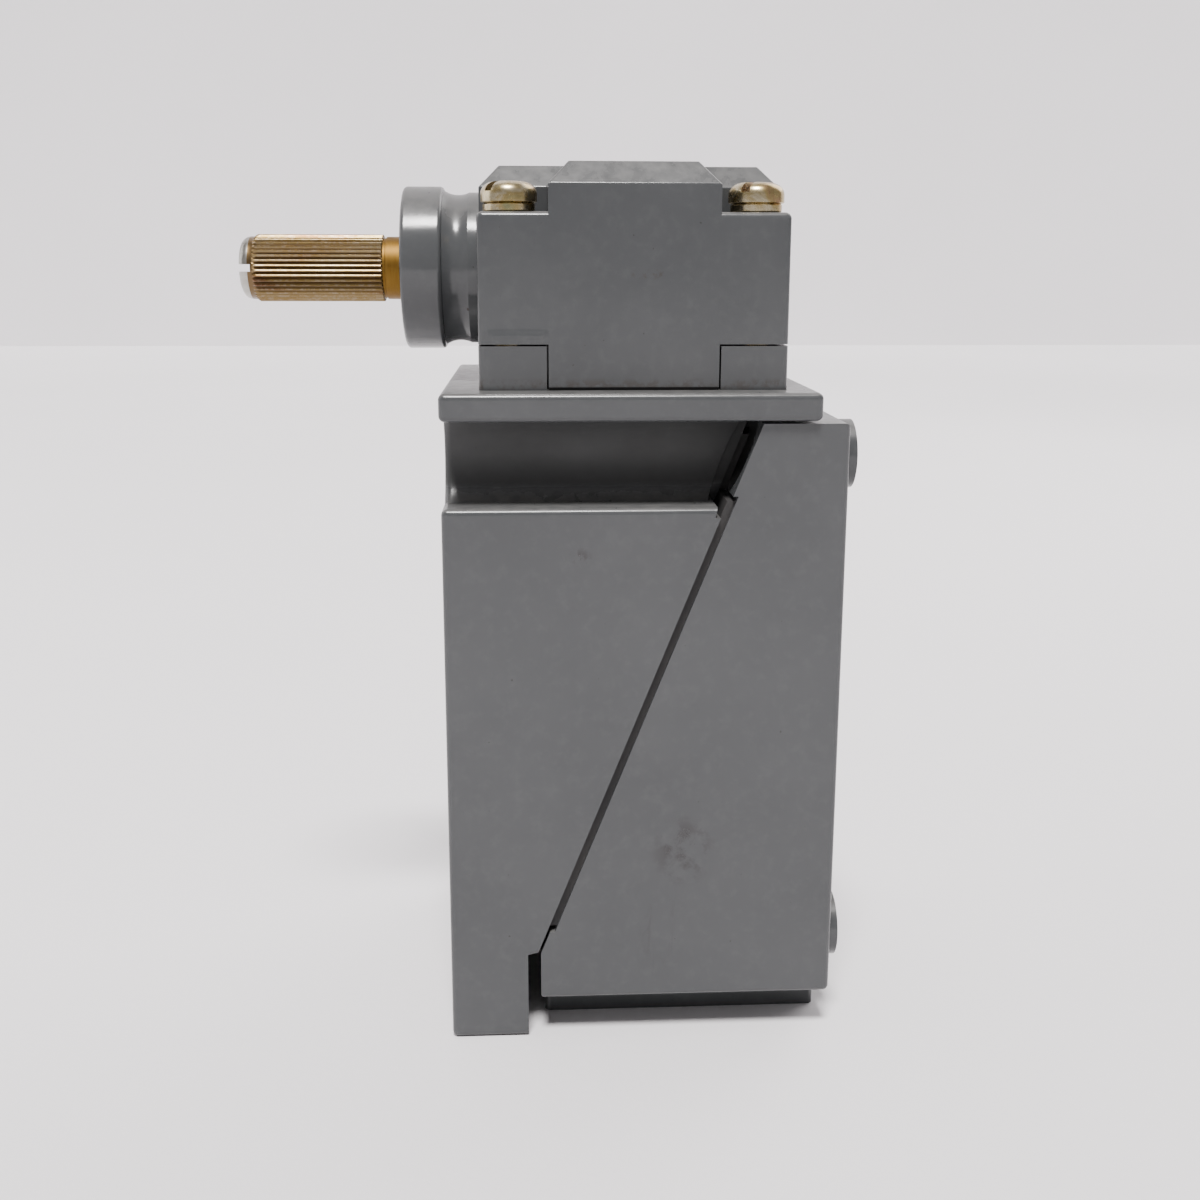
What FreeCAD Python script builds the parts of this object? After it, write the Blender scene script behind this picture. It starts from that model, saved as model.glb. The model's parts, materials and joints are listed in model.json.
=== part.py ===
import FreeCAD, Part
import math
import os
from FreeCAD import Vector

# Heavy-duty plug-in rotary limit switch, millimetres.
# +Z is up, +Y points into the mounting surface, the lever shaft points along -Y.
# Origin: centre of the four mounting holes, in the plane of the four mounting pads.

# ---------------------------------------------------------------- driving sizes
# Mounting interface
MOUNT_DX = 29.4            # hole to hole, across
MOUNT_DZ = 59.4            # hole to hole, up
MOUNT_HOLE_R = 2.6
MOUNT_SPOT_R = 4.6         # room for the screw head
MOUNT_GRIP = 8.8           # from the pads to the screw head's seat
PAD_R = 4.0
PAD_PROUD = 1.27

# Housing
BODY_WIDTH = 41.1
BODY_DEPTH = 46.03         # back face to front face
WALL = 2.8
BASE_Z = -41.0             # what the switch stands on
SHELL_BASE_Z = -36.1       # underside of the receptacle's main shell
SHELL_TOP_Z = 33.87
LEDGE_Z = 24.35            # top of the wide front block
FLANGE_Z0 = 34.2
FLANGE_T = 3.15
FLANGE_BORDER = 3.9        # flange beyond the head, each side
NECK_W = 31.5
NECK_SETBACK = 0.1
NECK_EDGE_R = 0.8
NECK_RELIEF = 1.3          # groove along the neck beside the joint
NECK_RELIEF_W = 3.0
NECK_SCOOP = 2.5           # depth of the hollow in each flank
LEG_T = 9.25
FOOT_GAP = 1.55            # between the leg and the receptacle
EDGE_R = 0.7

# Sloping joint between switch body and receptacle
FOOT_Z = -30.1             # where the joint meets the upright leg
SLOPE_TOP_T = 9.9          # receptacle thickness at its top edge
JOINT_GAP = 0.35           # metal to metal, square to the joint
GASKET_RECESS = 0.55
GASKET_INSET = 0.6
GASKET_WINDOW = 1.2        # gasket border inside the cavity walls
RIM_LOW = 5.3              # gasket seat below the cavity
RIM_HIGH = 1.3             # gasket seat above the ledge
RIM_TOP = 1.6              # lip left above the gasket seat
STEP_Z = 1.4               # small step under the ledge
CAVITY_LAP = 2.0           # how far cutting shapes run past the joint
CAVITY_TOP_Z = 21.5
CAVITY_BASE_Z = -22.0

# Head
HEAD_SQ = 34.9
HEAD_SETBACK = 21.8        # front face to the centre of head, plunger and push rod
HEAD_FLOOR_Z = 56.92       # screw pocket floors
HEAD_SHOULDER_Z = 59.92
HEAD_TOP_Z = 62.42
HEAD_TOP_INSET = 2.3
POCKET_X = 8.6
POCKET_Y = 7.9
POST = 7.65
POST_TOP_Z = 42.27
HEAD_FIT = 0.2             # gap between head and corner posts
HEAD_GASKET_T = 0.35
HEAD_GASKET_INSET = 0.3
CHAMBER_X = 18.4
CHAMBER_Y = 16.0
CHAMBER_TOP_Z = 58.9
HEAD_SCREW_INSET = 3.55     # screw centre to the side of the head

# Shaft and front hub
SHAFT_Z = 50.67
SHAFT_R = 4.0              # lever seat
JOURNAL_R = 3.74
SHAFT_TIP_R = 2.7
SHAFT_TIP_L = 1.7
SEAT_L = 15.4
COLLAR_L = 2.6             # bare journal between lever seat and disc
RELIEF = 0.35
CHAMFER = 0.3
DRIVER_SLOT = 0.9
DRIVER_SLOT_DEPTH = 1.5
REAR_JOURNAL_L = 6.1
DISC_R = 9.67
DISC_T = 4.84
DISC_STAND = 4.41          # disc's back face to the head's front face
DISC_EDGE = 0.5
GROOVE_R = 8.7
HUB_R = 9.0
BUSH_T = 1.6
RUN_FIT = 0.04             # radial running clearance
SEAL_FIT = 0.08
SHAFT_SEAL_T = 2.4
SHAFT_SEAL_SINK = 0.4
THRUST_T = 0.8
RING_T = 0.9
RING_DEPTH = 0.5
PIN_R = 1.0
PIN_SINK = 0.4

# Cam and plunger
CAM_BASE_R = 5.6
CAM_W = 7.0
CAM_RATE = 2.0             # plunger travel in mm per radian of shaft
CAM_NOSE_R = 3.0
CAM_SPARE_DEG = 4.0
TRAVEL_DEG = 75.0
PLUNGER_R = 2.5
PLUNGER_HEAD_R = 5.0
PLUNGER_HEAD_T = 1.2
GUIDE_T = 1.6
SPRING_R = 3.6
SPRING_WIRE_R = 0.35
SPRING_TURNS = 2.75
TOUCH = 0.03               # gap left where moving pieces only touch

# Contact block
BLOCK_W = 25.4
BLOCK_FRONT = 11.3         # front face of the switch to the block
BLOCK_D = 15.5
BLOCK_Z0 = -8.6
BLOCK_Z1 = 16.5
BLOCK_WALL = 2.0
EAR_W = 4.6
EAR_T = 2.5
EAR_HALF_H = 3.0
EAR_Z = (8.0, -5.0)
COVER_T = 1.8
COVER_FIT = 0.1
CARRIER_Z0 = -2.0
CARRIER_Z1 = 14.0
CARRIER_HALF = 2.6
CONTACT_INSET = 2.1        # contact centre line to the block's side wall
BRIDGE_W = 3.2
CARRIER_SPRING_R = 2.2
CARRIER_WIRE_R = 0.25
CARRIER_TURNS = 3.5
STRIP_W = 4.0
STRIP_T = 0.8
BUTTON_R = 1.3
BUTTON_T = 0.67
UPPER_STRIP_Z = 11.4
UPPER_BAR_Z = 9.2
LOWER_BAR_Z = 2.0
BLADE_GRIP = 5.0            # blade inside the terminal block

# Terminal block
TERM_SIDE = 1.3            # wider than the contact block, each side
TERM_D = 11.43
TERM_Z0 = -13.0
TERM_Z1 = 16.5
TERM_SCREW_DROP = 6.2
TERM_SCREW_R = 1.7
TERM_SCREW_HEAD_R = 2.7
TERM_SCREW_HEAD_T = 1.7
TERM_FIX_INSET = 4.0
TERM_FIX_WELL_R = 2.6
TERM_FIX_GRIP = 3.0
CLAMP_HALF = 2.9
CLAMP_T = 0.9
CLIP_LEAF_T = 0.5
CLIP_FIT = 0.02
CLIP_TAIL = 2.4
BLADE_SLOT_HALF = 0.9
GROUND_X = 11.0
GROUND_Z = -17.4
GROUND_R = 1.9
GROUND_HEAD_R = 3.4
GROUND_HEAD_T = 2.0
GROUND_CUP_HALF = 3.6
GROUND_CUP_T = 1.5

# Screws
HEAD_SCREW_R = 1.75
HEAD_SCREW_HEAD_R = 3.15
HEAD_SCREW_HEAD_T = 2.35
LOCK_WASHER_T = 1.0
LOCK_WASHER_R = 2.9
LOCK_WASHER_SPLIT = 0.5
CAPTIVE_R = 1.9
CAPTIVE_HEAD_R = 3.2
CAPTIVE_HEAD_T = 2.6
CAPTIVE_HEAD_SINK = CAPTIVE_HEAD_T + 0.3
CAPTIVE_INSET = 5.85       # screw centre to the side of the body
CAPTIVE_TOP_Z = 20.6
CAPTIVE_GRIP = 7.0
CLIP_R = 2.6
CLIP_T = 0.8
CLIP_WELL = 2.6
CAPTIVE_LOW_Z = -33.5
THREAD_FIT = 0.03
SCREW_FIT = 0.2
SHANK_END = 0.3
BLOCK_SCREW_R = 1.4
BLOCK_SCREW_HEAD_R = 2.2
BLOCK_SCREW_HEAD_T = 1.6
BLOCK_SCREW_REACH = 5.5
TERM_FIX_HEAD_R = 2.4

# Bosses, push-rod bushing and seal
BOSS_R = 3.3
MOUNT_BOSS_R = 2.7
ROD_BUSH_R = 4.0
ROD_BUSH_Z0 = 29.0
ROD_WELL_R = 6.5
SEAL_R = 5.2
SEAL_T = 1.8

# Conduit entry, half-inch pipe size
CONDUIT_R = 9.2
CONDUIT_DEPTH = 13.0
CONDUIT_LIP = 1.2          # smaller wire way behind the thread
PLINTH_W = 30.0
PLINTH_INSET = 0.5
PLINTH_BACK = 0.73

# Nameplate
PLATE_W = 27.0
PLATE_H = 40.0
PLATE_Z = -4.0
PLATE_T = 0.5
PLATE_RECESS = 0.6
PLATE_FIT = 0.2
PLATE_PIN_R = 0.9
PLATE_PIN_HEAD_R = 1.6
PLATE_PIN_INSET = 3.0

# ---------------------------------------------------------------- derived places
BACK_Y = -PAD_PROUD
FRONT_Y = BACK_Y - BODY_DEPTH
HALF_W = BODY_WIDTH / 2
INNER_HALF_W = HALF_W - WALL
FLANGE_Z1 = FLANGE_Z0 + FLANGE_T
NECK_HALF = NECK_W / 2
LEG_BACK_Y = FRONT_Y + LEG_T
TONGUE_HALF = NECK_HALF - NECK_RELIEF_W
SHELL_FRONT_Y = LEG_BACK_Y + FOOT_GAP
SLOPE = (BACK_Y - SLOPE_TOP_T - SHELL_FRONT_Y) / (SHELL_TOP_Z - FOOT_Z)
SKEW = math.sqrt(1 + SLOPE * SLOPE)
LEG_TOP_Z = FOOT_Z - 0.1
FLANGE_SQ = HEAD_SQ + 2 * FLANGE_BORDER
HEAD_Y = round(FRONT_Y + HEAD_SETBACK, 3)
HEAD_HALF = HEAD_SQ / 2
HEAD_Z0 = FLANGE_Z1 + HEAD_GASKET_T
HEAD_FRONT_Y = HEAD_Y - HEAD_HALF
CHAMBER_Y0 = HEAD_Y - CHAMBER_Y / 2
CHAMBER_Y1 = HEAD_Y + CHAMBER_Y / 2
DISC_Y1 = HEAD_FRONT_Y - DISC_STAND
DISC_Y0 = DISC_Y1 - DISC_T
SEAT_Y1 = DISC_Y0 - COLLAR_L
SEAT_Y0 = SEAT_Y1 - SEAT_L
SHAFT_TIP_Y = SEAT_Y0 - SHAFT_TIP_L
SHAFT_END_Y = CHAMBER_Y1 + REAR_JOURNAL_L
RING_Y = CHAMBER_Y1 - RING_T - 0.5
BUSH_R = JOURNAL_R + BUSH_T
TRAVEL = CAM_RATE * math.radians(TRAVEL_DEG)
PLUNGER_TOP_Z = SHAFT_Z - CAM_BASE_R - TOUCH
PLUNGER_END_Z = FLANGE_Z1
ROD_TOP_Z = PLUNGER_END_Z - TOUCH
CORNERS = [(-1, -1), (-1, 1), (1, -1), (1, 1)]
MOUNT_XZ = [(x, z) for x in (-MOUNT_DX / 2, MOUNT_DX / 2) for z in (-MOUNT_DZ / 2, MOUNT_DZ / 2)]
HEAD_SCREW_HALF = HEAD_HALF - HEAD_SCREW_INSET
HEAD_SCREW_XY = [
    (x, HEAD_Y + y)
    for x in (-HEAD_SCREW_HALF, HEAD_SCREW_HALF)
    for y in (-HEAD_SCREW_HALF, HEAD_SCREW_HALF)
]
CAPTIVE_X = HALF_W - CAPTIVE_INSET
CAPTIVE_XZ = [(-CAPTIVE_X, CAPTIVE_TOP_Z), (CAPTIVE_X, CAPTIVE_TOP_Z), (0, CAPTIVE_LOW_Z)]
BLOCK_Y0 = FRONT_Y + BLOCK_FRONT
BLOCK_Y1 = BLOCK_Y0 + BLOCK_D
CONTACT_X = BLOCK_W / 2 - BLOCK_WALL - CONTACT_INSET
EAR_X = BLOCK_W / 2 + EAR_W / 2
EAR_XZ = [(x, z) for x in (-EAR_X, EAR_X) for z in EAR_Z]
CHAMBER_Z0 = BLOCK_Z0 + BLOCK_WALL
UPPER_BUTTON_Z = UPPER_STRIP_Z - BUTTON_T
LOWER_STRIP_Z = LOWER_BAR_Z - BUTTON_T - TRAVEL - TOUCH - BUTTON_T - STRIP_T
SOCKET_Z = (UPPER_STRIP_Z + STRIP_T / 2, LOWER_STRIP_Z + STRIP_T / 2)
SOCKET_XZ = [(x, z) for x in (-CONTACT_X, CONTACT_X) for z in SOCKET_Z]
TERM_BACK_Y = BACK_Y - WALL
TERM_Y0 = TERM_BACK_Y - TERM_D
BLADE_TIP_Y = TERM_Y0 + BLADE_GRIP
CONDUIT_Y = (SHELL_FRONT_Y + BACK_Y) / 2
PLINTH_Y0 = SHELL_FRONT_Y + PLINTH_INSET
PLINTH_Y1 = BACK_Y - PLINTH_BACK
RIM_LOW_Z = CAVITY_BASE_Z - RIM_LOW
RIM_HIGH_Z = LEDGE_Z + RIM_HIGH
LEDGE_STEP_Z = LEDGE_Z - STEP_Z


# ---------------------------------------------------------------- shape helpers
def block(x0, x1, y0, y1, z0, z1):
    return Part.makeBox(x1 - x0, y1 - y0, z1 - z0, Vector(x0, y0, z0))


def rod_y(x, z, r, y0, y1):
    return Part.makeCylinder(r, y1 - y0, Vector(x, y0, z), Vector(0, 1, 0))


def rod_z(x, y, r, z0, z1):
    return Part.makeCylinder(r, z1 - z0, Vector(x, y, z0), Vector(0, 0, 1))


def rod_x(y, z, r, x0, x1):
    return Part.makeCylinder(r, x1 - x0, Vector(x0, y, z), Vector(1, 0, 0))


def slab_x(points, x0, x1):
    """Prism along X from an outline of (y, z) points."""
    wire = Part.makePolygon([Vector(x0, y, z) for y, z in points + points[:1]])
    return Part.Face(wire).extrude(Vector(x1 - x0, 0, 0))


def turned_y(points, x, z):
    """Body turned about the line through (x, z) along Y, from (y, radius) points."""
    wire = Part.makePolygon([Vector(x + r, y, z) for y, r in points + points[:1]])
    return Part.Face(wire).revolve(Vector(x, 0, z), Vector(0, 1, 0), 360)


def turned_z(points, x, y):
    """Body turned about the line through (x, y) along Z, from (z, radius) points."""
    wire = Part.makePolygon([Vector(x + r, y, z) for z, r in points + points[:1]])
    return Part.Face(wire).revolve(Vector(x, y, 0), Vector(0, 0, 1), 360)


def ring_y(x, z, r_in, r_out, y0, y1):
    return rod_y(x, z, r_out, y0, y1).cut(rod_y(x, z, r_in, y0 - 1, y1 + 1))


def ring_z(x, y, r_in, r_out, z0, z1):
    return rod_z(x, y, r_out, z0, z1).cut(rod_z(x, y, r_in, z0 - 1, z1 + 1))


def fused(shapes):
    return shapes[0].fuse(shapes[1:]).removeSplitter()


def rounded(shape, radius, wanted):
    """Round the edges whose middle point and direction satisfy wanted."""
    edges = []
    for edge in shape.Edges:
        ends = (edge.Vertexes[0].Point, edge.Vertexes[-1].Point)
        if wanted((ends[0] + ends[1]) * 0.5, (ends[1] - ends[0]).normalize()):
            edges.append(edge)
    return shape.makeFillet(radius, edges)


def coil_z(x, y, mean_r, wire_r, z0, z1, turns):
    """Round-wire coil spring standing between z0 and z1."""
    rise = z1 - z0 - 2 * wire_r
    path = Part.makeHelix(rise / turns, rise, mean_r)
    path.translate(Vector(x, y, z0 + wire_r))
    start = Vector(x + mean_r, y, z0 + wire_r)
    section = Part.Wire(Part.makeCircle(wire_r, start, Vector(0, 1, 0)))
    return Part.Wire(path).makePipeShell([section], True, True)


def save(name, shape):
    shape.exportStep("parts/" + name + ".step")


def rim_y(z, offset=0.0):
    """Y of the sloping joint plane at height z, moved square to itself towards +Y."""
    return BACK_Y - SLOPE_TOP_T - (SHELL_TOP_Z - z) * SLOPE + offset * SKEW


def slope_slab(offset0, offset1, z0, z1, x0, x1):
    """Sheet parallel to the sloping joint, between two offsets from it."""
    front = [(rim_y(z0, offset0), z0), (rim_y(z1, offset0), z1)]
    back = [(rim_y(z1, offset1), z1), (rim_y(z0, offset1), z0)]
    return slab_x(front + back, x0, x1)


def corner_block(sx, sy, reach, edge, z0, z1):
    """Upright square block in one corner of the head, from reach out to edge."""
    x0, x1 = sorted((sx * reach, sx * edge))
    y0, y1 = sorted((HEAD_Y + sy * reach, HEAD_Y + sy * edge))
    return block(x0, x1, y0, y1, z0, z1)


# ---------------------------------------------------------------- operating head
def hipped_bar(half_x, half_y):
    """Raised bar on top of the head, with its top edges sloped in."""
    body = block(-half_x, half_x, HEAD_Y - half_y, HEAD_Y + half_y, HEAD_FLOOR_Z - 1, HEAD_SHOULDER_Z)
    wires = []
    for inset, z in ((0, HEAD_SHOULDER_Z), (HEAD_TOP_INSET, HEAD_TOP_Z)):
        hx = half_x - inset
        hy = half_y - inset
        corners = [(-hx, -hy), (hx, -hy), (hx, hy), (-hx, hy), (-hx, -hy)]
        wires.append(Part.makePolygon([Vector(x, HEAD_Y + y, z) for x, y in corners]))
    return fused([body, Part.makeLoft(wires, True, True)])


def front_hub():
    """Round boss on the head's front face, with a shallow groove behind its disc."""
    edge = DISC_EDGE
    groove_y = (DISC_Y1 + HEAD_FRONT_Y) / 2 - 0.6
    top = Vector(0, DISC_Y1, SHAFT_Z + DISC_R - edge)
    start = Vector(0, DISC_Y1, SHAFT_Z + HUB_R + 0.2)
    lowest = Vector(0, groove_y, SHAFT_Z + GROOVE_R)
    end = Vector(0, HEAD_FRONT_Y - 1.4, SHAFT_Z + HUB_R)
    inner = Vector(0, HEAD_FRONT_Y + 1, SHAFT_Z + HUB_R)
    axis_in = Vector(0, HEAD_FRONT_Y + 1, SHAFT_Z)
    axis_out = Vector(0, DISC_Y0, SHAFT_Z)
    rim = [Vector(0, DISC_Y0, SHAFT_Z + DISC_R - edge), Vector(0, DISC_Y0 + edge, SHAFT_Z + DISC_R)]
    back = Vector(0, DISC_Y1 - edge, SHAFT_Z + DISC_R)
    mid = edge * (1 - math.sqrt(0.5))
    round_front = Vector(0, DISC_Y0 + mid, SHAFT_Z + DISC_R - mid)
    round_back = Vector(0, DISC_Y1 - mid, SHAFT_Z + DISC_R - mid)
    edges = [
        Part.makeLine(axis_out, rim[0]),
        Part.Arc(rim[0], round_front, rim[1]).toShape(),
        Part.makeLine(rim[1], back),
        Part.Arc(back, round_back, top).toShape(),
        Part.makeLine(top, start),
        Part.Arc(start, lowest, end).toShape(),
        Part.makeLine(end, inner),
        Part.makeLine(inner, axis_in),
        Part.makeLine(axis_in, axis_out),
    ]
    return Part.Face(Part.Wire(edges)).revolve(Vector(0, 0, SHAFT_Z), Vector(0, 1, 0), 360)


def head_housing():
    notch = HEAD_HALF - POST - HEAD_FIT
    main = block(-HEAD_HALF, HEAD_HALF, HEAD_FRONT_Y, HEAD_Y + HEAD_HALF, HEAD_Z0, HEAD_FLOOR_Z)
    main = rounded(main, EDGE_R, lambda mid, way: abs(way.z) > 0.9 or mid.z > HEAD_FLOOR_Z - 0.1)
    raised = fused([hipped_bar(HEAD_HALF, HEAD_HALF - POCKET_Y), hipped_bar(HEAD_HALF - POCKET_X, HEAD_HALF)])
    raised = rounded(raised, EDGE_R / 2, lambda mid, way: mid.z > HEAD_SHOULDER_Z - 0.1)
    body = fused([main, raised, front_hub()])
    cuts = [
        block(-CHAMBER_X / 2, CHAMBER_X / 2, CHAMBER_Y0, CHAMBER_Y1, HEAD_Z0 - 1, CHAMBER_TOP_Z),
        rod_y(0, SHAFT_Z, BUSH_R, DISC_Y0 - 1, CHAMBER_Y0 + 1),
        rod_y(0, SHAFT_Z, BUSH_R, CHAMBER_Y1 - 1, SHAFT_END_Y + 1.0),
    ]
    for sx, sy in CORNERS:
        cuts.append(corner_block(sx, sy, notch, HEAD_HALF + 1, HEAD_Z0 - 1, POST_TOP_Z + HEAD_FIT))
    for x, y in HEAD_SCREW_XY:
        cuts.append(rod_z(x, y, HEAD_SCREW_R + SCREW_FIT, POST_TOP_Z - 1, HEAD_FLOOR_Z + 1))
    return body.cut(cuts)


def lever_shaft():
    relief_r = JOURNAL_R - 0.15
    profile = [
        (SHAFT_TIP_Y, 0),
        (SHAFT_TIP_Y, SHAFT_TIP_R),
        (SHAFT_TIP_Y + 0.45, SHAFT_TIP_R + 0.65 * (JOURNAL_R - SHAFT_TIP_R)),
        (SEAT_Y0 - 0.1, JOURNAL_R),
        (SEAT_Y0, SHAFT_R - CHAMFER / 2),
        (SEAT_Y0 + CHAMFER, SHAFT_R),
        (SEAT_Y1, SHAFT_R),
        (SEAT_Y1, relief_r),
        (SEAT_Y1 + RELIEF, relief_r),
        (SEAT_Y1 + RELIEF, JOURNAL_R),
        (SHAFT_END_Y - CHAMFER, JOURNAL_R),
        (SHAFT_END_Y, JOURNAL_R - CHAMFER),
        (SHAFT_END_Y, 0),
    ]
    shaft = turned_y(profile, 0, SHAFT_Z)
    slot_end_y = SHAFT_TIP_Y + DRIVER_SLOT_DEPTH
    half_slot = DRIVER_SLOT / 2
    slot = block(-SHAFT_R, SHAFT_R, SHAFT_TIP_Y - 1, slot_end_y, SHAFT_Z - half_slot, SHAFT_Z + half_slot)
    groove = ring_y(0, SHAFT_Z, JOURNAL_R - RING_DEPTH, JOURNAL_R + 1, RING_Y, RING_Y + RING_T)
    pin_hole = rod_x(HEAD_Y, SHAFT_Z, PIN_R, -JOURNAL_R - 1, JOURNAL_R + 1)
    return shaft.cut([slot, groove, pin_hole])


def operating_cam():
    """Cam whose flat follower drops by CAM_RATE for each radian the shaft turns.

    The working flank has the support distance h = base + rate * s, so a flat face
    square to direction s touches it at h along s and rate beside it.
    """
    def flank(s):
        h = CAM_BASE_R + CAM_RATE * s
        x = h * math.sin(s) + CAM_RATE * math.cos(s)
        z = -h * math.cos(s) + CAM_RATE * math.sin(s)
        return Vector(x, 0, SHAFT_Z + z)

    end = math.radians(TRAVEL_DEG + CAM_SPARE_DEG)
    steps = 12
    curve = Part.BSplineCurve()
    curve.interpolate([flank(end * i / steps) for i in range(steps + 1)])
    normal = Vector(math.sin(end), 0, -math.cos(end))
    nose = flank(end) - normal * CAM_NOSE_R
    axis = Vector(0, 0, SHAFT_Z)
    span = nose - axis
    lean = math.asin((CAM_BASE_R - CAM_NOSE_R) / span.Length)
    heading = math.atan2(span.z, span.x)
    away = heading + math.pi / 2 - lean
    tangent = Vector(math.cos(away), 0, math.sin(away))
    half = (math.atan2(normal.z, normal.x) + away) / 2
    nose_mid = nose + Vector(math.cos(half), 0, math.sin(half)) * CAM_NOSE_R
    nose_end = nose + tangent * CAM_NOSE_R
    base_start = axis + tangent * CAM_BASE_R
    base_end = axis + Vector(0, 0, -CAM_BASE_R)
    turn = (away + 1.5 * math.pi) / 2
    base_mid = axis + Vector(math.cos(turn), 0, math.sin(turn)) * CAM_BASE_R
    edges = [
        curve.toShape(),
        Part.Arc(flank(end), nose_mid, nose_end).toShape(),
        Part.makeLine(nose_end, base_start),
        Part.Arc(base_start, base_mid, base_end).toShape(),
        Part.makeLine(base_end, flank(0)),
    ]
    face = Part.Face(Part.Wire(edges))
    face.translate(Vector(0, HEAD_Y - CAM_W / 2, 0))
    cam = face.extrude(Vector(0, CAM_W, 0))
    bore = rod_y(0, SHAFT_Z, JOURNAL_R, HEAD_Y - CAM_W, HEAD_Y + CAM_W)
    return cam.cut([bore, rod_x(HEAD_Y, SHAFT_Z, PIN_R, -CHAMBER_X, CHAMBER_X)])


def head_parts():
    save("head_housing", head_housing())
    save("lever_shaft", lever_shaft())
    save("operating_cam", operating_cam())
    save("cam_pin", rod_x(HEAD_Y, SHAFT_Z, PIN_R, -CAM_BASE_R + PIN_SINK, CAM_BASE_R - PIN_SINK))
    seal_y = DISC_Y0 + SHAFT_SEAL_SINK
    save("shaft_seal", ring_y(0, SHAFT_Z, JOURNAL_R + RUN_FIT, BUSH_R, seal_y, seal_y + SHAFT_SEAL_T))
    bush_y = seal_y + SHAFT_SEAL_T + 0.2
    save("front_bushing", ring_y(0, SHAFT_Z, JOURNAL_R + RUN_FIT, BUSH_R, bush_y, CHAMBER_Y0))
    save("rear_bushing", ring_y(0, SHAFT_Z, JOURNAL_R + RUN_FIT, BUSH_R, CHAMBER_Y1, SHAFT_END_Y + 0.4))
    washer_y = CHAMBER_Y0 + 0.05
    save("thrust_washer", ring_y(0, SHAFT_Z, JOURNAL_R + SEAL_FIT, BUSH_R + 1, washer_y, washer_y + THRUST_T))
    clip = ring_y(0, SHAFT_Z, JOURNAL_R - RING_DEPTH, JOURNAL_R + 1.1, RING_Y + 0.05, RING_Y + RING_T - 0.05)
    gap = block(-1.4, 1.4, RING_Y, RING_Y + RING_T, SHAFT_Z, SHAFT_Z + 2 * JOURNAL_R)
    save("retaining_ring", clip.cut(gap))
    guide_z = HEAD_Z0 + 0.1
    guide_top = guide_z + GUIDE_T
    reach = CHAMBER_X / 2 - 0.1
    guide = block(-reach, reach, CHAMBER_Y0 + 0.1, CHAMBER_Y1 - 0.1, guide_z, guide_top)
    save("plunger_guide", guide.cut(rod_z(0, HEAD_Y, PLUNGER_R + RUN_FIT, guide_z - 1, guide_top + 1)))
    button_z = PLUNGER_TOP_Z - PLUNGER_HEAD_T
    plunger = fused([
        rod_z(0, HEAD_Y, PLUNGER_R, PLUNGER_END_Z, PLUNGER_TOP_Z),
        rod_z(0, HEAD_Y, PLUNGER_HEAD_R, button_z, PLUNGER_TOP_Z),
    ])
    save("head_plunger", plunger)
    save("return_spring", coil_z(0, HEAD_Y, SPRING_R, SPRING_WIRE_R, guide_top, button_z, SPRING_TURNS))
    edge = HEAD_HALF - HEAD_GASKET_INSET
    gasket = block(-edge, edge, HEAD_Y - edge, HEAD_Y + edge, FLANGE_Z1, HEAD_Z0)
    reach = HEAD_HALF - POST - HEAD_FIT
    corner_cuts = [corner_block(sx, sy, reach, HEAD_HALF, FLANGE_Z1 - 1, HEAD_Z0 + 1) for sx, sy in CORNERS]
    window = rod_z(0, HEAD_Y, SEAL_R + 0.5, FLANGE_Z1 - 1, HEAD_Z0 + 1)
    save("head_gasket", gasket.cut(corner_cuts + [window]))
    screws = []
    washers = []
    seat = HEAD_FLOOR_Z + LOCK_WASHER_T
    for x, y in HEAD_SCREW_XY:
        screws.append(pan_screw_z(
            x, y, seat, FLANGE_Z0 + 0.8, HEAD_SCREW_R, HEAD_SCREW_HEAD_R, HEAD_SCREW_HEAD_T
        ))
        washer = ring_z(x, y, HEAD_SCREW_R + 0.1, LOCK_WASHER_R, HEAD_FLOOR_Z, seat)
        half_split = LOCK_WASHER_SPLIT / 2
        split = block(x, x + LOCK_WASHER_R + 1, y - half_split, y + half_split, HEAD_FLOOR_Z - 1, seat + 1)
        washers.append(washer.cut(split))
    save("head_screws", Part.makeCompound(screws))
    save("head_lock_washers", Part.makeCompound(washers))


def pan_screw_z(x, y, seat_z, tip_z, r, head_r, head_t):
    """Slotted pan-head screw pointing down, its head resting at seat_z."""
    crown = head_t * 0.45
    profile = [
        (tip_z, 0),
        (tip_z, r - SHANK_END),
        (tip_z + SHANK_END, r),
        (seat_z, r),
        (seat_z, head_r),
        (seat_z + head_t - crown, head_r),
        (seat_z + head_t - crown * 0.35, head_r * 0.82),
        (seat_z + head_t, head_r * 0.4),
        (seat_z + head_t, 0),
    ]
    screw = turned_z(profile, x, y)
    slot = block(x - 0.5, x + 0.5, y - head_r, y + head_r, seat_z + head_t * 0.5, seat_z + head_t + 1)
    return screw.cut(slot)


def pan_screw_y(x, z, seat_y, tip_y, r, head_r, head_t):
    """Slotted screw along Y from its head's seat to its tip, whichever way that is."""
    way = math.copysign(1, tip_y - seat_y)
    crown = 0.4
    profile = [
        (tip_y, 0),
        (tip_y, r - SHANK_END),
        (tip_y - way * SHANK_END, r),
        (seat_y, r),
        (seat_y, head_r),
        (seat_y - way * (head_t - crown), head_r),
        (seat_y - way * head_t, head_r - crown),
        (seat_y - way * head_t, 0),
    ]
    screw = turned_y(profile, x, z)
    y0, y1 = sorted((seat_y - way * (head_t + 1), seat_y - way * head_t / 2))
    return screw.cut(block(x - head_r, x + head_r, y0, y1, z - crown, z + crown))


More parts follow.
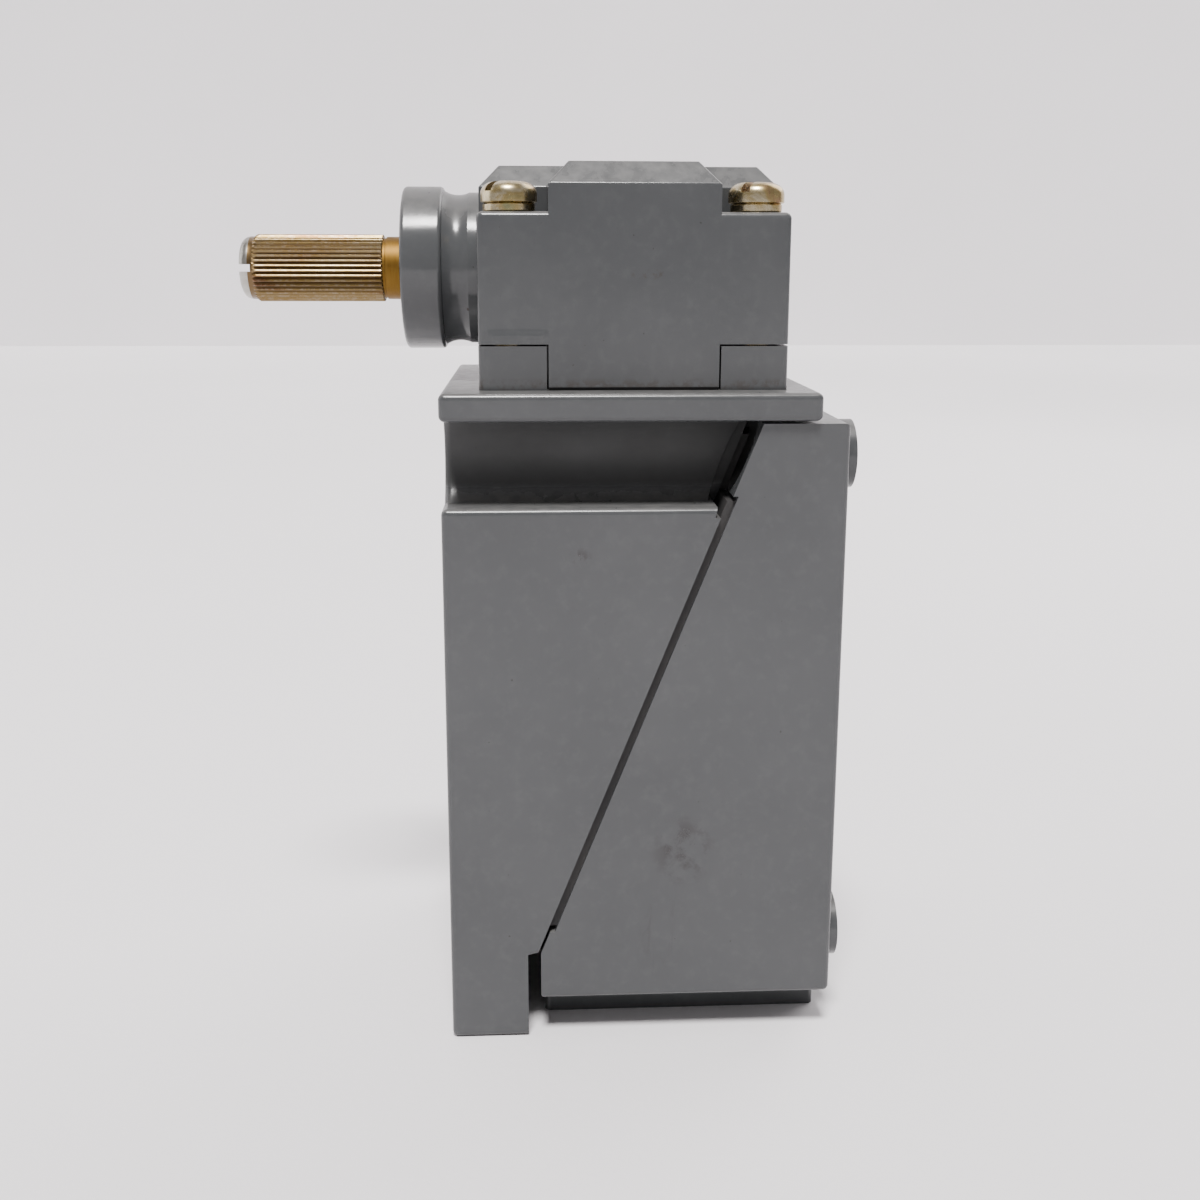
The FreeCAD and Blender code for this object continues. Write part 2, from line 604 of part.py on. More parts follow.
# ---------------------------------------------------------------- switch body
def wide_block():
    """Full-width lower part with its upright leg and sloping joint face."""
    front_gap = -JOINT_GAP
    wide = slab_x(
        [
            (FRONT_Y, LEDGE_Z),
            (FRONT_Y, BASE_Z),
            (LEG_BACK_Y, BASE_Z),
            (LEG_BACK_Y, LEG_TOP_Z),
            (rim_y(LEG_TOP_Z + 0.3, front_gap), LEG_TOP_Z + 0.3),
            (rim_y(LEDGE_Z, front_gap), LEDGE_Z),
        ],
        -HALF_W,
        HALF_W,
    )
    wide = rounded(
        wide,
        EDGE_R,
        lambda mid, way: mid.y < FRONT_Y + 0.1 or mid.z < BASE_Z + 0.1 or (
            mid.z > LEDGE_Z - 0.1 and abs(way.y) > 0.9
        ),
    )
    step = slab_x(
        [
            (rim_y(LEDGE_STEP_Z, front_gap - 0.5), LEDGE_STEP_Z + 0.3),
            (rim_y(LEDGE_STEP_Z, front_gap + 1), LEDGE_STEP_Z),
            (rim_y(LEDGE_Z, front_gap + 1), LEDGE_Z + 1),
            (rim_y(LEDGE_Z, front_gap - 0.5), LEDGE_Z + 1),
        ],
        -HALF_W - 1,
        HALF_W + 1,
    )
    return wide.cut(step)


def neck():
    """Narrower part under the flange, relieved beside the joint on both flanks."""
    front_y = FRONT_Y + NECK_SETBACK
    joint = [(rim_y(LEDGE_Z - 2, -JOINT_GAP), LEDGE_Z - 2), (rim_y(FLANGE_Z0, -JOINT_GAP), FLANGE_Z0)]
    top = [(rim_y(FLANGE_Z0, -JOINT_GAP), FLANGE_Z0 + 1)]
    body = slab_x([(front_y, FLANGE_Z0 + 1), (front_y, LEDGE_Z - 2)] + joint + top, -NECK_HALF, NECK_HALF)
    half_h = (FLANGE_Z0 - LEDGE_Z) / 2
    scoop_r = (half_h ** 2 + NECK_SCOOP ** 2) / (2 * NECK_SCOOP)
    scoop_z = LEDGE_Z + half_h
    scoop_x = NECK_HALF - NECK_SCOOP + scoop_r
    body = body.cut([rod_y(side * scoop_x, scoop_z, scoop_r, FRONT_Y, BACK_Y) for side in (-1, 1)])
    body = rounded(body, NECK_EDGE_R, lambda mid, way: mid.y < front_y + 0.1 and abs(mid.z - scoop_z) < 0.5 and (
        abs(way.z) > 0.9
    ))
    reliefs = []
    for side in (-1, 1):
        x0, x1 = sorted((side * TONGUE_HALF, side * (NECK_HALF + 1)))
        reliefs.append(slope_slab(-JOINT_GAP - NECK_RELIEF, 1, LEDGE_Z - 3, FLANGE_Z0 + 2, x0, x1))
    return body.cut(reliefs)


def switch_body():
    flange_half = FLANGE_SQ / 2
    flange = block(-flange_half, flange_half, FRONT_Y, FRONT_Y + FLANGE_SQ, FLANGE_Z0, FLANGE_Z1)
    flange = rounded(flange, EDGE_R, lambda mid, way: True)
    posts = []
    for sx, sy in CORNERS:
        post = corner_block(sx, sy, HEAD_HALF - POST, HEAD_HALF, FLANGE_Z1 - 1, POST_TOP_Z)
        outer_x = sx * HEAD_HALF
        outer_y = HEAD_Y + sy * HEAD_HALF
        posts.append(rounded(
            post,
            EDGE_R,
            lambda mid, way: abs(way.z) > 0.9 and abs(mid.x - outer_x) < 0.1 and abs(mid.y - outer_y) < 0.1,
        ))
    body = fused([wide_block(), neck(), flange] + posts)
    cavity = slab_x(
        [
            (FRONT_Y + WALL, CAVITY_TOP_Z),
            (FRONT_Y + WALL, CAVITY_BASE_Z),
            (rim_y(CAVITY_BASE_Z, CAVITY_LAP), CAVITY_BASE_Z),
            (rim_y(CAVITY_TOP_Z, CAVITY_LAP), CAVITY_TOP_Z),
        ],
        -INNER_HALF_W,
        INNER_HALF_W,
    )
    bosses = [rod_y(x, z, BOSS_R, FRONT_Y, BACK_Y) for x, z in CAPTIVE_XZ[:2]]
    bosses += [rod_y(x, z, MOUNT_BOSS_R, FRONT_Y, BLOCK_Y0) for x, z in EAR_XZ]
    recess_z0 = PLATE_Z - PLATE_H / 2 - PLATE_FIT
    recess_z1 = PLATE_Z + PLATE_H / 2 + PLATE_FIT
    recess_half = PLATE_W / 2 + PLATE_FIT
    cuts = [
        cavity.cut(bosses),
        rod_z(0, HEAD_Y, ROD_WELL_R, CAVITY_TOP_Z - 1, ROD_BUSH_Z0),
        rod_z(0, HEAD_Y, ROD_BUSH_R, ROD_BUSH_Z0 - 1, FLANGE_Z1 + 1),
        rod_z(0, HEAD_Y, SEAL_R, FLANGE_Z1 - SEAL_T, FLANGE_Z1 + 1),
        block(-recess_half, recess_half, FRONT_Y - 1, FRONT_Y + PLATE_RECESS, recess_z0, recess_z1),
    ]
    for x, z in CAPTIVE_XZ:
        cuts.append(rod_y(x, z, CAPTIVE_R + SCREW_FIT, FRONT_Y - 1, BACK_Y))
        cuts.append(rod_y(x, z, CAPTIVE_HEAD_R + 0.3, FRONT_Y - 1, FRONT_Y + CAPTIVE_HEAD_SINK))
        cuts.append(rod_y(x, z, CLIP_R + 0.1, captive_exit_y(z) - CLIP_WELL, BACK_Y))
    for x, y in HEAD_SCREW_XY:
        cuts.append(rod_z(x, y, HEAD_SCREW_R + THREAD_FIT, FLANGE_Z0 + 0.5, POST_TOP_Z + 1))
    for x, z in EAR_XZ:
        cuts.append(rod_y(x, z, BLOCK_SCREW_R + THREAD_FIT, FRONT_Y + WALL, BLOCK_Y0 + 1))
    for x, z in plate_pin_places():
        cuts.append(rod_y(x, z, PLATE_PIN_R + THREAD_FIT, FRONT_Y, FRONT_Y + WALL - 0.4))
    return body.cut(cuts)


def plate_pin_places():
    reach = PLATE_H / 2 - PLATE_PIN_INSET
    return [(0, PLATE_Z - reach), (0, PLATE_Z + reach)]


def contact_block():
    half = BLOCK_W / 2
    body = block(-half, half, BLOCK_Y0, BLOCK_Y1, BLOCK_Z0, BLOCK_Z1)
    ears = []
    for x, z in EAR_XZ:
        x0 = x - EAR_W / 2
        ears.append(block(x0, x0 + EAR_W, BLOCK_Y0, BLOCK_Y0 + EAR_T, z - EAR_HALF_H, z + EAR_HALF_H))
    body = fused([body] + ears)
    cuts = [
        block(
            -half + BLOCK_WALL, half - BLOCK_WALL, BLOCK_Y0 - 1, BLOCK_Y1 - BLOCK_WALL, CHAMBER_Z0,
            BLOCK_Z1 - BLOCK_WALL
        ),
        rod_z(0, HEAD_Y, PLUNGER_R + RUN_FIT, BLOCK_Z1 - BLOCK_WALL - 1, BLOCK_Z1 + 1),
    ]
    for x, z in EAR_XZ:
        cuts.append(rod_y(x, z, BLOCK_SCREW_R + 0.1, BLOCK_Y0 - 1, BLOCK_Y0 + EAR_T + 1))
    return body.cut(cuts + fixed_strips())


def fixed_strips():
    """Brass strips that carry the fixed contacts and leave the block as plug blades."""
    strips = []
    for side in (-1, 1):
        for z in (UPPER_STRIP_Z, LOWER_STRIP_Z):
            x0 = side * CONTACT_X - STRIP_W / 2
            strips.append(block(x0, x0 + STRIP_W, HEAD_Y - STRIP_W / 2, BLADE_TIP_Y, z, z + STRIP_T))
    return strips


def moving_bridge(z):
    reach = CONTACT_X + BUTTON_R
    return block(-reach, reach, HEAD_Y - BRIDGE_W / 2, HEAD_Y + BRIDGE_W / 2, z, z + STRIP_T)


def body_parts():
    save("switch_body", switch_body())
    bush = ring_z(0, HEAD_Y, PLUNGER_R + RUN_FIT, ROD_BUSH_R, ROD_BUSH_Z0, FLANGE_Z1 - SEAL_T)
    save("rod_bushing", bush)
    save("rod_seal", ring_z(0, HEAD_Y, PLUNGER_R + SEAL_FIT, SEAL_R, FLANGE_Z1 - SEAL_T, FLANGE_Z1))
    save("push_rod", rod_z(0, HEAD_Y, PLUNGER_R, CARRIER_Z1, ROD_TOP_Z))
    save("contact_block", contact_block())
    lid_half = BLOCK_W / 2 - BLOCK_WALL - COVER_FIT
    lid_top = BLOCK_Z1 - BLOCK_WALL - COVER_FIT
    lid = block(-lid_half, lid_half, BLOCK_Y0, BLOCK_Y0 + COVER_T, CHAMBER_Z0 + COVER_FIT, lid_top)
    save("contact_block_cover", lid)
    screws = []
    for x, z in EAR_XZ:
        tip = BLOCK_Y0 - BLOCK_SCREW_REACH
        screws.append(pan_screw_y(
            x, z, BLOCK_Y0 + EAR_T, tip, BLOCK_SCREW_R, BLOCK_SCREW_HEAD_R, BLOCK_SCREW_HEAD_T
        ))
    save("contact_block_screws", Part.makeCompound(screws))
    half = CARRIER_HALF
    carrier = block(-half, half, HEAD_Y - half, HEAD_Y + half, CARRIER_Z0, CARRIER_Z1)
    save("contact_carrier", carrier.cut([moving_bridge(UPPER_BAR_Z), moving_bridge(LOWER_BAR_Z)]))
    save("moving_contacts", Part.makeCompound([moving_bridge(UPPER_BAR_Z), moving_bridge(LOWER_BAR_Z)]))
    upper_gap = UPPER_BUTTON_Z - TOUCH - (UPPER_BAR_Z + STRIP_T)
    moving_tips = []
    fixed_tips = []
    for x in (-CONTACT_X, CONTACT_X):
        bar_top = UPPER_BAR_Z + STRIP_T
        moving_tips.append(rod_z(x, HEAD_Y, BUTTON_R, bar_top, bar_top + upper_gap))
        moving_tips.append(rod_z(x, HEAD_Y, BUTTON_R, LOWER_BAR_Z - BUTTON_T, LOWER_BAR_Z))
        fixed_tips.append(rod_z(x, HEAD_Y, BUTTON_R, UPPER_BUTTON_Z, UPPER_STRIP_Z))
        low = LOWER_STRIP_Z + STRIP_T
        fixed_tips.append(rod_z(x, HEAD_Y, BUTTON_R, low, low + BUTTON_T))
    save("moving_contact_tips", Part.makeCompound(moving_tips))
    save("fixed_contact_tips", Part.makeCompound(fixed_tips))
    save("fixed_contacts", Part.makeCompound(fixed_strips()))
    spring = coil_z(0, HEAD_Y, CARRIER_SPRING_R, CARRIER_WIRE_R, CHAMBER_Z0, CARRIER_Z0, CARRIER_TURNS)
    save("carrier_spring", spring)
    captive = []
    retainers = []
    for x, z in CAPTIVE_XZ:
        seat = FRONT_Y + CAPTIVE_HEAD_SINK
        tip = captive_entry_y(z) + CAPTIVE_GRIP
        captive.append(pan_screw_y(x, z, seat, tip, CAPTIVE_R, CAPTIVE_HEAD_R, CAPTIVE_HEAD_T))
        clip_y = captive_exit_y(z) - CLIP_WELL
        retainers.append(ring_y(x, z, CAPTIVE_R, CLIP_R, clip_y, clip_y + CLIP_T))
    save("captive_screws", Part.makeCompound(captive))
    save("captive_screw_clips", Part.makeCompound(retainers))
    half = PLATE_W / 2
    plate = block(
        -half, half, FRONT_Y + PLATE_RECESS - PLATE_T, FRONT_Y + PLATE_RECESS, PLATE_Z - PLATE_H / 2,
        PLATE_Z + PLATE_H / 2
    )
    pins = []
    for x, z in plate_pin_places():
        plate = plate.cut(rod_y(x, z, PLATE_PIN_R + 0.05, FRONT_Y - 1, FRONT_Y + 2))
        face = FRONT_Y + PLATE_RECESS - PLATE_T
        shank = rod_y(x, z, PLATE_PIN_R, face, FRONT_Y + WALL - 0.6)
        button = Part.makeSphere(PLATE_PIN_HEAD_R * 1.4, Vector(x, face + PLATE_PIN_HEAD_R * 1.4 - 0.5, z))
        cap = button.common(rod_y(x, z, PLATE_PIN_HEAD_R, face - 1, face))
        pins.append(fused([shank, cap]))
    save("nameplate", plate)
    save("nameplate_pins", Part.makeCompound(pins))


def captive_exit_y(z):
    """Where a captive screw at height z leaves the switch body."""
    return rim_y(z, -JOINT_GAP) if z > CAVITY_BASE_Z else LEG_BACK_Y


def captive_entry_y(z):
    """Where a captive screw at height z enters the receptacle."""
    return rim_y(z) if z > CAVITY_BASE_Z else SHELL_FRONT_Y


# ---------------------------------------------------------------- receptacle
def receptacle():
    shell = slab_x(
        [
            (BACK_Y, SHELL_TOP_Z),
            (BACK_Y, SHELL_BASE_Z),
            (SHELL_FRONT_Y, SHELL_BASE_Z),
            (SHELL_FRONT_Y, FOOT_Z),
            (rim_y(SHELL_TOP_Z), SHELL_TOP_Z),
        ],
        -HALF_W,
        HALF_W,
    )
    shell = rounded(
        shell,
        EDGE_R,
        lambda mid, way: mid.y > BACK_Y - 0.1 or abs(mid.z - SHELL_BASE_Z) < 0.1,
    )
    plinth = block(-PLINTH_W / 2, PLINTH_W / 2, PLINTH_Y0, PLINTH_Y1, BASE_Z, SHELL_BASE_Z + 1)
    plinth = rounded(plinth, EDGE_R, lambda mid, way: abs(way.z) > 0.9)
    pads = [rod_y(x, z, PAD_R, BACK_Y - 1, 0) for x, z in MOUNT_XZ]
    body = fused([shell, plinth] + pads)
    cavity = slab_x(
        [
            (BACK_Y - WALL, CAVITY_TOP_Z),
            (BACK_Y - WALL, CAVITY_BASE_Z),
            (rim_y(CAVITY_BASE_Z, -CAVITY_LAP), CAVITY_BASE_Z),
            (rim_y(CAVITY_TOP_Z, -CAVITY_LAP), CAVITY_TOP_Z),
        ],
        -INNER_HALF_W,
        INNER_HALF_W,
    )
    bosses = [rod_y(x, z, BOSS_R, FRONT_Y, BACK_Y) for x, z in CAPTIVE_XZ[:2]]
    tongue_top = SHELL_TOP_Z - RIM_TOP
    cuts = [
        cavity.cut(bosses),
        slope_slab(-3, GASKET_RECESS, RIM_LOW_Z, RIM_HIGH_Z, -HALF_W - 1, HALF_W + 1),
        slope_slab(-3, GASKET_RECESS, RIM_HIGH_Z - 1, tongue_top, -TONGUE_HALF, TONGUE_HALF),
        rod_z(0, CONDUIT_Y, CONDUIT_R, BASE_Z - 1, BASE_Z + CONDUIT_DEPTH),
        rod_z(0, CONDUIT_Y, CONDUIT_R - CONDUIT_LIP, BASE_Z, CAVITY_BASE_Z + 1),
    ]
    for x, z in MOUNT_XZ:
        cuts.append(rod_y(x, z, MOUNT_HOLE_R, FRONT_Y, 1))
        cuts.append(rod_y(x, z, MOUNT_SPOT_R, FRONT_Y, -MOUNT_GRIP))
    for x, z in CAPTIVE_XZ:
        cuts.append(rod_y(x, z, CAPTIVE_R + THREAD_FIT, FRONT_Y, captive_entry_y(z) + CAPTIVE_GRIP + 0.8))
    for x, z in term_screw_places():
        cuts.append(rod_y(x, z, BLOCK_SCREW_R + THREAD_FIT, TERM_BACK_Y - 1, BACK_Y - 0.6))
    cuts.append(rod_y(GROUND_X, GROUND_Z, GROUND_R + THREAD_FIT, TERM_BACK_Y - 1, BACK_Y - 0.5))
    return body.cut(cuts)


def term_screw_places():
    return [(0, TERM_Z1 - TERM_FIX_INSET), (0, TERM_Z0 + TERM_FIX_INSET)]


def body_gasket():
    edge = HALF_W - GASKET_INSET
    half = TONGUE_HALF - GASKET_INSET
    tongue_top = SHELL_TOP_Z - RIM_TOP - GASKET_INSET
    low = RIM_LOW_Z + GASKET_INSET
    sheet = slope_slab(-JOINT_GAP, GASKET_RECESS, low, RIM_HIGH_Z - GASKET_INSET, -edge, edge)
    tongue = slope_slab(-JOINT_GAP, GASKET_RECESS, LEDGE_STEP_Z - 1, tongue_top, -half, half)
    sheet = fused([sheet, tongue])
    clear = INNER_HALF_W - GASKET_WINDOW
    window_low = block(-clear, clear, FRONT_Y, BACK_Y, CAVITY_BASE_Z + 1, CAPTIVE_TOP_Z - BOSS_R - 1)
    window_half = CAPTIVE_X - BOSS_R - 0.6
    window_high = block(-window_half, window_half, FRONT_Y, BACK_Y, 0, CAVITY_TOP_Z - 1)
    holes = [rod_y(x, z, CAPTIVE_R + 0.3, FRONT_Y, BACK_Y) for x, z in CAPTIVE_XZ[:2]]
    return sheet.cut([window_low, window_high] + holes)


def socket_clip(x, z):
    """Spring clip that grips a blade, with its tail down to the terminal screw."""
    leaf_t = CLIP_LEAF_T
    half_w = STRIP_W / 2
    grip = STRIP_T / 2 + CLIP_FIT
    back = BLADE_TIP_Y + 0.8
    tail_z = z - TERM_SCREW_DROP - CLIP_TAIL
    leaves = [
        block(x - half_w, x + half_w, TERM_Y0 + 0.3, back, z + grip, z + grip + leaf_t),
        block(x - half_w, x + half_w, TERM_Y0 + 0.3, back, z - grip - leaf_t, z - grip),
        block(x - half_w, x + half_w, back, back + leaf_t, tail_z, z + grip + leaf_t),
    ]
    return fused(leaves)


def blade_slot(x, z):
    """Way in for a blade, through the terminal block to its clip."""
    half_w = STRIP_W / 2 + 0.1
    end = BLADE_TIP_Y + 0.8
    return block(x - half_w, x + half_w, TERM_Y0 - 1, end, z - BLADE_SLOT_HALF, z + BLADE_SLOT_HALF)


def terminal_parts():
    half = BLOCK_W / 2 + TERM_SIDE
    clips = [socket_clip(x, z) for x, z in SOCKET_XZ]
    places = [(x, z - TERM_SCREW_DROP) for x, z in SOCKET_XZ]
    cuts = clips + [blade_slot(x, z) for x, z in SOCKET_XZ]
    cuts += [rod_y(x, z, TERM_SCREW_R + THREAD_FIT, TERM_Y0 - 1, TERM_BACK_Y - 2) for x, z in places]
    fixing = []
    fix_seat = TERM_BACK_Y - TERM_FIX_GRIP
    for x, z in term_screw_places():
        cuts.append(rod_y(x, z, BLOCK_SCREW_R + 0.1, TERM_Y0 - 1, TERM_BACK_Y + 1))
        cuts.append(rod_y(x, z, TERM_FIX_WELL_R, TERM_Y0 - 1, fix_seat))
        fixing.append(pan_screw_y(
            x, z, fix_seat, BACK_Y - 0.8, BLOCK_SCREW_R, TERM_FIX_HEAD_R, BLOCK_SCREW_HEAD_T
        ))
    save("terminal_block", block(-half, half, TERM_Y0, TERM_BACK_Y, TERM_Z0, TERM_Z1).cut(cuts))
    save("terminal_block_screws", Part.makeCompound(fixing))
    holes = [rod_y(x, z, TERM_SCREW_R + THREAD_FIT, TERM_Y0, TERM_BACK_Y) for x, z in places]
    save("socket_clips", Part.makeCompound([clip.cut(holes) for clip in clips]))
    clamps = []
    screws = []
    for x, z in places:
        seat = TERM_Y0 - CLAMP_T
        clamp = block(x - CLAMP_HALF, x + CLAMP_HALF, seat, TERM_Y0, z - CLAMP_HALF, z + CLAMP_HALF)
        clamps.append(clamp.cut(rod_y(x, z, TERM_SCREW_R + 0.1, TERM_Y0 - 2, TERM_Y0 + 1)))
        screws.append(pan_screw_y(
            x, z, seat, TERM_BACK_Y - 2.2, TERM_SCREW_R, TERM_SCREW_HEAD_R, TERM_SCREW_HEAD_T
        ))
    save("wire_clamps", Part.makeCompound(clamps))
    save("terminal_screws", Part.makeCompound(screws))


def ground_parts():
    seat = TERM_BACK_Y - GROUND_CUP_T
    screw = pan_screw_y(GROUND_X, GROUND_Z, seat, BACK_Y - 0.7, GROUND_R, GROUND_HEAD_R, GROUND_HEAD_T)
    save("ground_screw", screw)
    half = GROUND_CUP_HALF
    cup = block(GROUND_X - half, GROUND_X + half, seat, TERM_BACK_Y, GROUND_Z - half, GROUND_Z + half)
    save("ground_clamp", cup.cut(rod_y(GROUND_X, GROUND_Z, GROUND_R + 0.1, seat - 1, TERM_BACK_Y + 1)))


def receptacle_parts():
    save("receptacle", receptacle())
    save("body_gasket", body_gasket())
    terminal_parts()
    ground_parts()


os.makedirs("parts", exist_ok=True)
head_parts()
body_parts()
receptacle_parts()
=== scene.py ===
import bmesh
import bpy
import json
import math
from mathutils import Matrix, Vector


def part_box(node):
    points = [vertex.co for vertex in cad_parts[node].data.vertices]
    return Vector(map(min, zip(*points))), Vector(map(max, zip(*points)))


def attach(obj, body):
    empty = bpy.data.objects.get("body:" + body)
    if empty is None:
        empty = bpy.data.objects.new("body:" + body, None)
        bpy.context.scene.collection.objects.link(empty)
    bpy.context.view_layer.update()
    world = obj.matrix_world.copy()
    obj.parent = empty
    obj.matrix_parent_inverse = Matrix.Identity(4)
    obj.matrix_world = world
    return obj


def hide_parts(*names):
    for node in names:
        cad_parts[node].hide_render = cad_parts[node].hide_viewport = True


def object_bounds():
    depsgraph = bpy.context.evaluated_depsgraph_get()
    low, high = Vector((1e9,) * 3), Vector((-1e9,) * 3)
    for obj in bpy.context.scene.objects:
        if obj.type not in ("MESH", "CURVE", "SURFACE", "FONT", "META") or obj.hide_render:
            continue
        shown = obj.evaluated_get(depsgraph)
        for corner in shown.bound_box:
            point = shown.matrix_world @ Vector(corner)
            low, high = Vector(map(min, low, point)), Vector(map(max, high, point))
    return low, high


# Plug-in rotary limit switch. Metres, in the frame of the mounting holes: +Z up, +Y into the wall,
# the lever shaft along -Y. MM turns the drawing's millimetres into metres.
MM = 0.001
CREASE_DEG = 35.0                # edges sharper than this stay sharp
SIDE_X = 20.5 * MM               # right-hand side of the switch body and the receptacle
HEAD_SIDE_X = 17.5 * MM          # right-hand side of the head

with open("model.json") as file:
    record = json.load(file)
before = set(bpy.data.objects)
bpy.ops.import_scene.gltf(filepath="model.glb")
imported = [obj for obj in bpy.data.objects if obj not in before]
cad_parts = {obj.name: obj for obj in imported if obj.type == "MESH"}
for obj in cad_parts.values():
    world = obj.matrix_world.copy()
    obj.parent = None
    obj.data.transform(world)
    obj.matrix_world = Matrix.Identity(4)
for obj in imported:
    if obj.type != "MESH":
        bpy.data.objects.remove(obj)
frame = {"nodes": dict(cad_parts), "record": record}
cad_low, cad_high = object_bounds()
nodes = frame["nodes"]


# ---------------------------------------------------------------- camera, floor and lights
def make_camera():
    """Close, slightly raised view of the switch's right-hand side."""
    data = bpy.data.cameras.new("side_camera")
    data.sensor_width = 36.0
    data.lens = 39.81
    data.shift_x = -0.003
    data.shift_y = -0.050
    camera = bpy.data.objects.new("side_camera", data)
    camera.location = (166.8 * MM, -36.8 * MM, 51.8 * MM)
    camera.rotation_euler = (math.radians(78.05), math.radians(-0.13), math.radians(87.0))
    bpy.context.scene.collection.objects.link(camera)
    bpy.context.scene.camera = camera


def area_light(name, place, target, size, power, colour):
    data = bpy.data.lights.new(name, "AREA")
    data.shape = "RECTANGLE"
    data.size, data.size_y = size
    data.energy = power
    data.color = colour
    lamp = bpy.data.objects.new(name, data)
    lamp.location = place
    lamp.rotation_euler = (Vector(target) - Vector(place)).to_track_quat("-Z", "Y").to_euler()
    bpy.context.scene.collection.objects.link(lamp)


def sun_light(name, direction, power, spread_deg, colour):
    data = bpy.data.lights.new(name, "SUN")
    data.energy = power
    data.angle = math.radians(spread_deg)
    data.color = colour
    lamp = bpy.data.objects.new(name, data)
    lamp.rotation_euler = Vector(direction).to_track_quat("-Z", "Y").to_euler()
    bpy.context.scene.collection.objects.link(lamp)


def make_studio():
    """Soft high key light, a dim world, two fills, a pale floor and a pale wall far behind."""
    world = bpy.data.worlds.new("studio")
    world.use_nodes = True
    background = world.node_tree.nodes["Background"]
    background.inputs["Color"].default_value = (1.0, 0.968, 0.972, 1.0)
    background.inputs["Strength"].default_value = 0.42
    bpy.context.scene.world = world
    middle = (cad_low + cad_high) / 2
    warm = (1.0, 0.975, 0.965)
    lamp_size = (0.40, 0.40)
    sun_light("ceiling", (-0.36, 0.05, -0.93), 6.8, 14.0, warm)
    area_light("fill", middle + Vector((-0.35, 0.40, 0.40)), middle, lamp_size, 1.8, warm)
    area_light("front_fill", middle + Vector((-0.10, -0.55, 0.25)), middle, lamp_size, 1.0, warm)
    reach = 3.0
    back_x = -1.3
    z = cad_low.z
    floor_corners = [(back_x, -reach, z), (reach, -reach, z), (reach, reach, z), (back_x, reach, z)]
    wall_corners = [(back_x, -reach, z), (back_x, reach, z), (back_x, reach, reach), (back_x, -reach, reach)]
    stage_sheet("floor", floor_corners, floor_material("pale_floor", 0.69, 0.73))
    stage_sheet("backdrop", wall_corners, floor_material("pale_backdrop", 0.84, 0.88))


def stage_sheet(name, corners, material):
    mesh = bpy.data.meshes.new(name)
    mesh.from_pydata(corners, [], [(0, 1, 2, 3)])
    sheet = bpy.data.objects.new(name, mesh)
    bpy.context.scene.collection.objects.link(sheet)
    sheet.data.materials.append(material)


